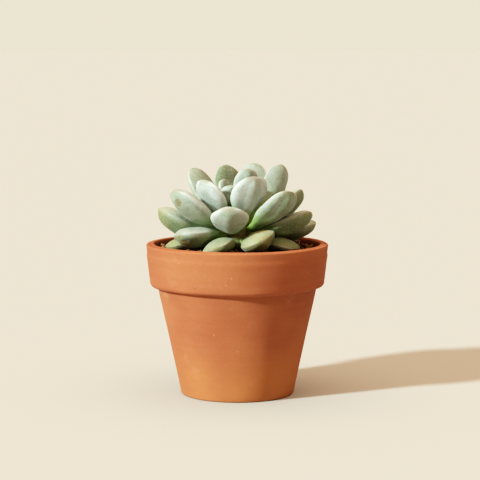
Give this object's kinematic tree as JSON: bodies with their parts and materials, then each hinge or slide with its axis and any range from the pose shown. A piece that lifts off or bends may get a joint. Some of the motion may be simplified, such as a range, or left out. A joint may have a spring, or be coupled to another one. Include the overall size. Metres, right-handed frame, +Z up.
{
  "type": "potted succulent",
  "caption": "Rosette of thick, pale green, spoon-shaped leaves on a short stem, growing in a tapered clay pot with a thick collar.",
  "frame": {"origin": "centre of the pot's foot, on the surface that it stands on", "axes": "+Z up through the pot, -Y to the front, +X to the right"},
  "size_m": [0.106, 0.106, 0.1342],
  "materials": {
    "terracotta": "matt, fired clay",
    "potting_mix": "rough, crumbly",
    "stem": "matt, fleshy",
    "young_leaf": "powdery bloom",
    "leaf": "powdery bloom",
    "old_leaf": "waxy, slightly translucent"
  },
  "bodies": {
    "root": {"pot": "terracotta", "potting_mix": "potting_mix", "stem": "stem", "heart_leaf_1": "young_leaf", "heart_leaf_2": "young_leaf", "heart_leaf_3": "young_leaf", "heart_leaf_4": "young_leaf", "heart_leaf_5": "young_leaf", "heart_leaf_6": "young_leaf", "heart_leaf_7": "young_leaf", "heart_leaf_8": "young_leaf", "upper_leaf_1": "leaf", "upper_leaf_2": "leaf", "upper_leaf_3": "leaf", "upper_leaf_4": "leaf", "upper_leaf_5": "leaf", "upper_leaf_6": "leaf", "upper_leaf_7": "leaf", "middle_leaf_1": "leaf", "middle_leaf_2": "leaf", "middle_leaf_3": "leaf", "middle_leaf_4": "leaf", "middle_leaf_5": "leaf", "middle_leaf_6": "leaf", "middle_leaf_7": "leaf", "lower_leaf_1": "leaf", "lower_leaf_2": "leaf", "lower_leaf_3": "leaf", "lower_leaf_4": "leaf", "lower_leaf_5": "leaf", "lower_leaf_6": "leaf", "lower_leaf_7": "leaf", "bottom_leaf_1": "old_leaf", "bottom_leaf_2": "old_leaf", "bottom_leaf_3": "old_leaf", "bottom_leaf_4": "old_leaf", "bottom_leaf_5": "old_leaf", "bottom_leaf_6": "old_leaf", "bottom_leaf_7": "old_leaf", "bottom_leaf_8": "old_leaf"}
  },
  "joints": []
}
